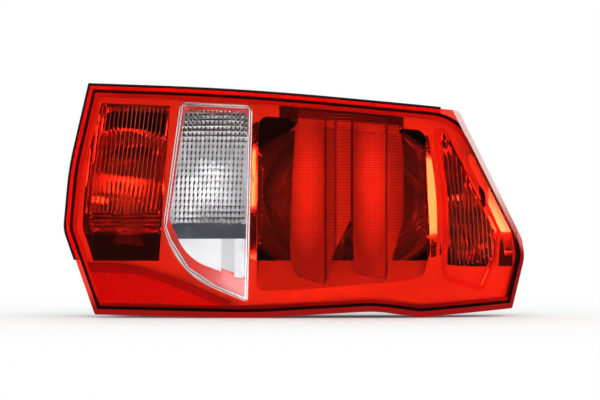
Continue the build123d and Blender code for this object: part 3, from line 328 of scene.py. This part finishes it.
def depth_below_surface(tree):
    """Depth of a point behind the lamp's outer surface."""
    x, y, z = place(tree)
    from_axis = length(tree, calc(tree, "SUBTRACT", CROWN_AXIS_Y, y), z)
    unrolled_y = calc(tree, "SUBTRACT", CROWN_AXIS_Y, from_axis)
    rear_reach = length(tree, *offset_from(tree, x, unrolled_y, REAR_CENTRE))
    across, ahead = offset_from(tree, x, unrolled_y, CORNER_CENTRE)
    past_turn = calc(tree, "SUBTRACT", product(tree, across, math.cos(CORNER_TURN)),
                     product(tree, ahead, math.sin(CORNER_TURN)))
    straight_reach = calc(tree, "ADD", product(tree, across, math.sin(CORNER_TURN)),
                          product(tree, ahead, math.cos(CORNER_TURN)))
    on_straight = calc(tree, "GREATER_THAN", past_turn, 0)
    corner_reach = choose(tree, on_straight, length(tree, across, ahead), straight_reach)
    rear_depth = calc(tree, "SUBTRACT", REAR_RADIUS, rear_reach)
    corner_depth = calc(tree, "SUBTRACT", CORNER_RADIUS, corner_reach)
    return choose(tree, calc(tree, "GREATER_THAN", x, CORNER_START_X), rear_depth, corner_depth)


def inside_by(tree, outline):
    """How far a point is inside a clockwise front outline without hollows, negative outside it."""
    x, _, z = place(tree)
    least = 1.0
    for start, end in zip(outline, outline[1:] + outline[:1]):
        run = Vector(end) - Vector(start)
        run.normalize()
        right = product(tree, calc(tree, "SUBTRACT", x, start[0]), run[1])
        left = product(tree, calc(tree, "SUBTRACT", z, start[1]), run[0])
        least = calc(tree, "MINIMUM", least, calc(tree, "SUBTRACT", right, left))
    return least


def within(tree, outline):
    """1 inside a clockwise front outline without hollows, 0 outside it."""
    return calc(tree, "GREATER_THAN", inside_by(tree, outline), 0)


def see_through(name, colour, roughness):
    """Clear moulded plastic, unevenly polished; gives the material, its tree and the shader."""
    material, tree, shader = new_material(name)
    shader.inputs["Base Color"].default_value = colour
    shader.inputs["IOR"].default_value = PLASTIC_IOR
    shader.inputs["Transmission Weight"].default_value = 1.0
    uneven = spread(tree, noise(tree, scale=60), roughness / 2, roughness)
    tree.links.new(uneven, shader.inputs["Roughness"])
    return material, tree, shader


def metal(name, colour, roughness, scale):
    """Bare or plated metal with a varying polish."""
    material, tree, shader = new_material(name)
    shader.inputs["Base Color"].default_value = colour
    shader.inputs["Metallic"].default_value = 1.0
    tree.links.new(spread(tree, noise(tree, scale), *roughness), shader.inputs["Roughness"])
    return material


def opaque(name, colour, roughness, grain, depth):
    """Moulded plastic, rubber or foam with a fine grain."""
    material, tree, shader = new_material(name)
    shader.inputs["Base Color"].default_value = colour
    uneven = spread(tree, noise(tree, grain / GRAINS_PER_PATCH), *roughness)
    tree.links.new(uneven, shader.inputs["Roughness"])
    bump(tree, shader, noise(tree, grain), GRAIN_STRENGTH, depth)
    return material


def red_lens():
    """Red lens, deeper at its flange, with painted shade at the flange's foot and right end, and nearly
    clear along the wing.
    """
    material, tree, shader = see_through("red_lens", LENS_RED, LENS_ROUGHNESS)
    x, _, z = place(tree)
    # painted shade: the flange turns darker towards its foot and at its right end
    at_foot = spread(tree, z, 1.0, 0.0, *LOW_FLANGE_FADE)
    at_end = product(tree, spread(tree, x, 0.0, 1.0, *END_FLANGE_ACROSS),
                     spread(tree, z, 1.0, 0.0, *END_FLANGE_FADE))
    flange = blend(tree, any_of(tree, at_foot, at_end), FLANGE_RED, FLANGE_FOOT_SHADE)
    at_flange = calc(tree, "GREATER_THAN", depth_below_surface(tree), FLANGE_FRONT)
    face_or_flange = blend(tree, at_flange, LENS_RED, flange)
    across = product(tree, calc(tree, "SUBTRACT", x, WING_TOP[0]), WING_OUTWARD[0])
    up = product(tree, calc(tree, "SUBTRACT", z, WING_TOP[1]), WING_OUTWARD[1])
    on_wing = calc(tree, "GREATER_THAN", calc(tree, "ADD", across, up), -WING_WIDTH)
    clear_share = product(tree, on_wing, spread(tree, z, 0.0, 1.0, *WING_FADE))
    tree.links.new(blend(tree, clear_share, face_or_flange, WING_PINK), shader.inputs["Base Color"])
    tree.links.new(spread(tree, clear_share, 1.0, WING_TRANSMISSION), shader.inputs["Transmission Weight"])
    return material


def clear_lens():
    """Clear window with rows of pillows across the flutes of its inner face."""
    material, tree, shader = see_through("clear_lens", CLEAR, LENS_ROUGHNESS)
    _, _, z = place(tree)
    inner = calc(tree, "GREATER_THAN", depth_below_surface(tree), OPTIC_BACK)
    on_block = product(tree, inner, calc(tree, "GREATER_THAN", z, WINDOW_BLOCK_BOTTOM))
    rows = product(tree, ripple(tree, z, PILLOW_ROW), on_block)
    bump(tree, shader, rows, strength=1.0, distance=PILLOW_HEIGHT)
    return material


def column_pattern(tree, x, z):
    """Fine square grid on the columns' faces, level ribs on their flanks and diamonds at their tips."""
    grid = product(tree, ripple(tree, x, COLUMN_GRID), ripple(tree, z, COLUMN_GRID))
    on_flank = any_of(tree, *[between(tree, x, *flank) for flank in COLUMN_FLANKS])
    pattern = choose(tree, on_flank, grid, ripple(tree, z, COLUMN_LADDER))
    at_tip = calc(tree, "LESS_THAN", z, COLUMN_TIP_TOP)
    return choose(tree, at_tip, pattern, diamonds(tree, x, z, COLUMN_DIAMOND))


def column_painted_light(tree, x, z):
    """Painted light and shade on the columns: a painted glow most in the middle of each, painted shade under
    the brow and along the ridges.
    """
    off_glow = FAR_FROM_GLOW
    for centre in COLUMN_GLOWS:
        across = calc(tree, "DIVIDE", calc(tree, "SUBTRACT", x, centre[0]), COLUMN_GLOW_SIZE[0])
        along = calc(tree, "DIVIDE", calc(tree, "SUBTRACT", z, centre[1]), COLUMN_GLOW_SIZE[1])
        off_glow = calc(tree, "MINIMUM", off_glow, length(tree, across, along))
    glow = spread(tree, off_glow, 1.0, COLUMN_DIM_SHARE, *COLUMN_GLOW_FADE)
    level_z = calc(tree, "ADD", z, product(tree, x, BROW_SLOPE))
    glow = product(tree, glow, spread(tree, level_z, 1.0, 0.0, BROW_HEIGHT, BROW_HEIGHT + BROW_FADE))
    for ridge in COLUMN_RIDGES:
        off_ridge = calc(tree, "ABSOLUTE", calc(tree, "SUBTRACT", x, ridge))
        glow = product(tree, glow, spread(tree, off_ridge, RIDGE_SHARE, 1.0, *RIDGE_FADE))
    return glow


def column_red():
    """Inner lens with a moulded pattern, which looks red behind the outer lens; its colour holds a painted
    glow and painted shade.
    """
    material, tree, shader = see_through("column_red", COLUMN_PALE, COLUMN_ROUGHNESS)
    shader.inputs["Transmission Weight"].default_value = COLUMN_TRANSMISSION
    x, _, z = place(tree)
    pattern = column_pattern(tree, x, z)
    # painted shade in the pattern's grooves
    raised = spread(tree, pattern, COLUMN_GROOVE_SHARE, 1.0, 0.0, COLUMN_GROOVE_EDGE)
    # painted glow, with painted shade under the brow and along the ridges
    pale = product(tree, raised, column_painted_light(tree, x, z))
    tree.links.new(blend(tree, pale, COLUMN_SHADE, COLUMN_PALE), shader.inputs["Base Color"])
    bump(tree, shader, pattern, strength=0.5, distance=COLUMN_PATTERN_HEIGHT)
    return material


def reflex_red():
    """Prism plate with small slanting facets drawn in painted light and shade, and a band of dots along its
    upper edge.
    """
    material, tree, shader = new_material("reflex_red")
    x, _, z = place(tree)
    facets = diamonds(tree, x, z, REFLEX_PRISM)
    # painted light and shade: the facets drawn alternately bright and dark
    prisms = blend(tree, facets, REFLEX_DARK, REFLEX_LIT_FACET)
    dots = blend(tree, ripple(tree, x, REFLEX_DOT), REFLEX_SHADE, REFLEX_DARK)
    on_band = calc(tree, "LESS_THAN", inside_by(tree, REFLEX_TOP), REFLEX_BAND)
    tree.links.new(blend(tree, on_band, prisms, dots), shader.inputs["Base Color"])
    shader.inputs["Roughness"].default_value = REFLEX_ROUGHNESS
    bump(tree, shader, facets, strength=0.4, distance=REFLEX_PRISM_HEIGHT)
    return material


def ledge(tree, in_chamber, in_outline, top):
    """1 on the sloped ledge below a chamber's bowl, else 0."""
    _, y, z = place(tree)
    low = calc(tree, "LESS_THAN", z, top)
    ahead = calc(tree, "LESS_THAN", y, THROAT_Y)
    return product(tree, low, ahead, in_outline, in_chamber)


def mirror_coat():
    """Reflector's coating: polished in the chambers and on some of the bezel, painted or satin elsewhere;
    some of its colours are painted shade and painted reflection.
    """
    material, tree, shader = new_material("mirror_coat")
    x, _, z = place(tree)
    in_chamber = calc(tree, "GREATER_THAN", depth_below_surface(tree), BEZEL_FACE)
    in_window = within(tree, WINDOW_OUTLINE)
    polished = any_of(tree, in_chamber, *[within(tree, outline) for outline in POLISHED_OUTLINES])
    window_ledge = ledge(tree, in_chamber, in_window, WINDOW_LEDGE_TOP)
    stop_ledge = ledge(tree, in_chamber, between(tree, x, *STOP_SIDES), STOP_LEDGE_TOP)
    window_rim = product(tree, in_window, opposite(tree, in_chamber))
    painted = any_of(tree, window_ledge, stop_ledge, window_rim)
    window_share = spread(tree, in_window, 1.0, WINDOW_METAL)
    metallic = product(tree, polished, opposite(tree, painted), window_share)
    tree.links.new(metallic, shader.inputs["Metallic"])

    from_edge = inside_by(tree, WINDOW_OUTLINE)
    on_strip = product(tree, between(tree, x, *STRIP_SIDES), calc(tree, "GREATER_THAN", z, STRIP_BOTTOM))
    low_fog = product(tree, within(tree, FOG_OUTLINE), calc(tree, "LESS_THAN", z, FOG_LEDGE_TOP))
    above_ledge = between(tree, z, WINDOW_LEDGE_TOP, WINDOW_BLOCK_BOTTOM)
    coloured_areas = [
        (product(tree, window_ledge, on_strip), STRIP_GREY),
        (stop_ledge, BEZEL_SILVER),
        # painted reflection: the fog's lower ledge drawn darker
        (low_fog, FOG_LEDGE_DARK_REFLECTION),
        # painted shade: dark band above the window's ledge
        (product(tree, in_window, in_chamber, above_ledge), WINDOW_BAND_SHADE),
        # painted shade: a grey line along the window's rim
        (product(tree, window_rim, between(tree, from_edge, *RIM_LINE)), RIM_SHADE_GREY),
        # painted reflection: red on the rest of the window's rim
        (product(tree, window_rim, calc(tree, "GREATER_THAN", from_edge, RIM_RED_FROM)), RIM_RED_REFLECTION),
    ]
    colour = blend(tree, any_of(tree, polished, painted), BEZEL_SILVER, LEDGE_WHITE)
    for area, area_colour in coloured_areas:
        colour = blend(tree, area, colour, area_colour)
    tree.links.new(colour, shader.inputs["Base Color"])

    satin = choose(tree, polished, BEZEL_SATIN, product(tree, in_window, WINDOW_SATIN))
    uneven = spread(tree, noise(tree, scale=40), *COAT_UNEVENNESS)
    tree.links.new(calc(tree, "ADD", satin, uneven), shader.inputs["Roughness"])
    return material


def black_housing():
    """Black moulded plastic."""
    return opaque("black_housing", HOUSING_BLACK, roughness=(0.5, 0.7), grain=1600, depth=0.0001)


def grey_carrier():
    """Grey moulded plastic."""
    return opaque("grey_carrier", CARRIER_GREY, roughness=(0.4, 0.55), grain=1600, depth=0.0001)


def seal_rubber():
    """Black rubber."""
    return opaque("seal_rubber", RUBBER_BLACK, roughness=(0.6, 0.8), grain=900, depth=0.0001)


def pale_foam():
    """Pale foam tape."""
    return opaque("pale_foam", FOAM_PALE, roughness=(0.8, 0.95), grain=1200, depth=0.0002)


def brass_strip():
    """Brass of the conductor tracks and blades."""
    return metal("brass_strip", BRASS, roughness=(0.2, 0.4), scale=200)


def plated_steel():
    """Plated steel of studs and screws."""
    return metal("plated_steel", STEEL, roughness=(0.25, 0.45), scale=300)


def bulb_glass():
    """Blown glass of a bulb, so thin that it hardly bends the view."""
    material, tree, shader = new_material("bulb_glass")
    shader.inputs["Base Color"].default_value = GLASS_GREY
    shader.inputs["Roughness"].default_value = GLASS_ROUGHNESS
    tree.links.new(spread(tree, noise(tree, scale=90), *GLASS_COVER), shader.inputs["Alpha"])
    return material


def bulb_cap():
    """Metal of a bulb's cap."""
    return metal("bulb_cap", CAP_METAL, roughness=(0.2, 0.35), scale=200)


def filament_metal():
    """Dull grey metal of a filament and its wires."""
    return metal("filament_metal", FILAMENT_GREY, roughness=(0.3, 0.5), scale=400)


def materials():
    """One material for every slot of the record."""
    return {
        "red_lens": red_lens(),
        "clear_lens": clear_lens(),
        "reflex_red": reflex_red(),
        "column_red": column_red(),
        "mirror_coat": mirror_coat(),
        "black_housing": black_housing(),
        "grey_carrier": grey_carrier(),
        "seal_rubber": seal_rubber(),
        "pale_foam": pale_foam(),
        "brass_strip": brass_strip(),
        "plated_steel": plated_steel(),
        "bulb_glass": bulb_glass(),
        "bulb_cap": bulb_cap(),
        "filament_metal": filament_metal(),
    }


def dress():
    """Give every CAD node its slot's material."""
    by_slot = materials()
    for subpart in frame["record"]["subparts"]:
        node = frame["nodes"][subpart["node"]]
        node.data.materials.clear()
        node.data.materials.append(by_slot[subpart["material_slot"]])


def patch_mesh(name, distance, azimuths, elevations):
    """Mesh of a patch of a ball round the lamp."""
    points = []
    for row in range(PATCH_STEPS + 1):
        tilt = math.radians(elevations[0] + (elevations[1] - elevations[0]) * row / PATCH_STEPS)
        for column in range(PATCH_STEPS + 1):
            turn = math.radians(azimuths[0] + (azimuths[1] - azimuths[0]) * column / PATCH_STEPS)
            points.append((distance * math.cos(tilt) * math.sin(turn),
                           -distance * math.cos(tilt) * math.cos(turn),
                           distance * math.sin(tilt)))
    faces = []
    for row in range(PATCH_STEPS):
        for column in range(PATCH_STEPS):
            first = row * (PATCH_STEPS + 1) + column
            above = first + PATCH_STEPS + 1
            faces.append((first, first + 1, above + 1, above))
    mesh = bpy.data.meshes.new(name)
    mesh.from_pydata(points, [], faces)
    return mesh


def glow_patch(name, distance, azimuths, elevations):
    """Glowing patch that only mirrors and lenses see; gives its tree and its emission shader."""
    mesh = patch_mesh(name, distance, azimuths, elevations)
    patch = bpy.data.objects.new(name, mesh)
    bpy.context.scene.collection.objects.link(patch)
    material = bpy.data.materials.new(name)
    material.use_nodes = True
    tree = material.node_tree
    tree.nodes.clear()
    glow = tree.nodes.new("ShaderNodeEmission")
    output = tree.nodes.new("ShaderNodeOutputMaterial")
    tree.links.new(glow.outputs["Emission"], output.inputs["Surface"])
    mesh.materials.append(material)
    patch.visible_camera = False
    patch.visible_diffuse = False
    patch.visible_shadow = False
    return tree, glow


def on_satin(tree):
    """1 for the light that falls on a satin or painted face, else 0."""
    path = tree.nodes.new("ShaderNodeLightPath")
    return calc(tree, "GREATER_THAN", path.outputs["Diffuse Depth"], 0)


def dark_front():
    """Dark tent before the lamp, so that the polished faces have something dark to mirror."""
    tree, glow = glow_patch("dark_front", TENT_DISTANCE, TENT_AZIMUTHS, TENT_ELEVATIONS)
    tree.links.new(spread(tree, on_satin(tree), DARK, TENT_FILL), glow.inputs["Strength"])


def strip_light(name, azimuths, elevations, strength, satin_strength):
    """Light for the lamp's inside: one strength for mirrors behind a lens, another for satin faces there."""
    tree, glow = glow_patch(name, LIGHT_DISTANCE, azimuths, elevations)
    path = tree.nodes.new("ShaderNodeLightPath")
    faces_passed = path.outputs["Transmission Depth"]
    through_lens = calc(tree, "GREATER_THAN", faces_passed, LENS_FACES_IN_AND_OUT - 0.5)
    level = choose(tree, on_satin(tree), spread(tree, through_lens, DARK, strength), satin_strength)
    tree.links.new(level, glow.inputs["Strength"])


def surroundings():
    """White world at a plain level."""
    world = bpy.data.worlds.new("studio")
    world.use_nodes = True
    background = world.node_tree.nodes["Background"]
    background.inputs["Color"].default_value = WHITE
    background.inputs["Strength"].default_value = 1.0
    bpy.context.scene.world = world


def white_floor():
    """Plain floor under the lamp, which its mirrors and lenses do not show."""
    bpy.ops.mesh.primitive_plane_add(size=FLOOR_SIZE, location=(0, 0, cad_bounds[0][2]))
    floor = bpy.context.object
    floor.name = "floor"
    material, _, shader = new_material("floor")
    shader.inputs["Base Color"].default_value = WHITE
    shader.inputs["Roughness"].default_value = 1.0
    shader.inputs["Specular IOR Level"].default_value = 0.0
    floor.data.materials.append(material)
    floor.visible_glossy = False
    floor.visible_transmission = False


def stage():
    """White floor and surroundings, the dark tent, and the strip lights for the lamp's inside."""
    surroundings()
    white_floor()
    dark_front()
    for side in (-1, 1):
        strip_light("side_light", azimuths=(66 * side, 80 * side), elevations=(-12, 12),
                    strength=8.0, satin_strength=46.0)
    strip_light("right_light", azimuths=(36, 50), elevations=(-2.8, 3.6),
                strength=40.0, satin_strength=DARK)
    strip_light("left_light", azimuths=(-5.9, -4.7), elevations=(-0.5, 4.7),
                strength=40.0, satin_strength=DARK)
    strip_light("low_light", azimuths=(-10, 10), elevations=(-24, -5),
                strength=14.0, satin_strength=34.0)
    strip_light("end_light", azimuths=(80, 84.3), elevations=(-2.2, 4.0),
                strength=50.0, satin_strength=DARK)


def camera():
    """Long lens, square-on."""
    data = bpy.data.cameras.new("camera")
    data.sensor_width = SENSOR_WIDTH
    data.lens = SENSOR_WIDTH * CAMERA_DISTANCE / IMAGE_WIDTH_AT_LAMP
    view = bpy.data.objects.new("camera", data)
    bpy.context.scene.collection.objects.link(view)
    view.location = CAMERA_AIM - Vector((0, CAMERA_DISTANCE, 0))
    view.rotation_euler = (math.radians(90), 0, 0)
    bpy.context.scene.camera = view


def light_paths():
    """Let light run through the clear pieces and off the mirrors often enough."""
    cycles = bpy.context.scene.cycles
    cycles.max_bounces = LIGHT_BOUNCES
    cycles.transmission_bounces = LIGHT_BOUNCES
    cycles.glossy_bounces = LIGHT_BOUNCES
    cycles.sample_clamp_indirect = 0
    bpy.context.scene.view_settings.view_transform = "Standard"


dress()
stage()
camera()
light_paths()
bpy.context.view_layer.update()
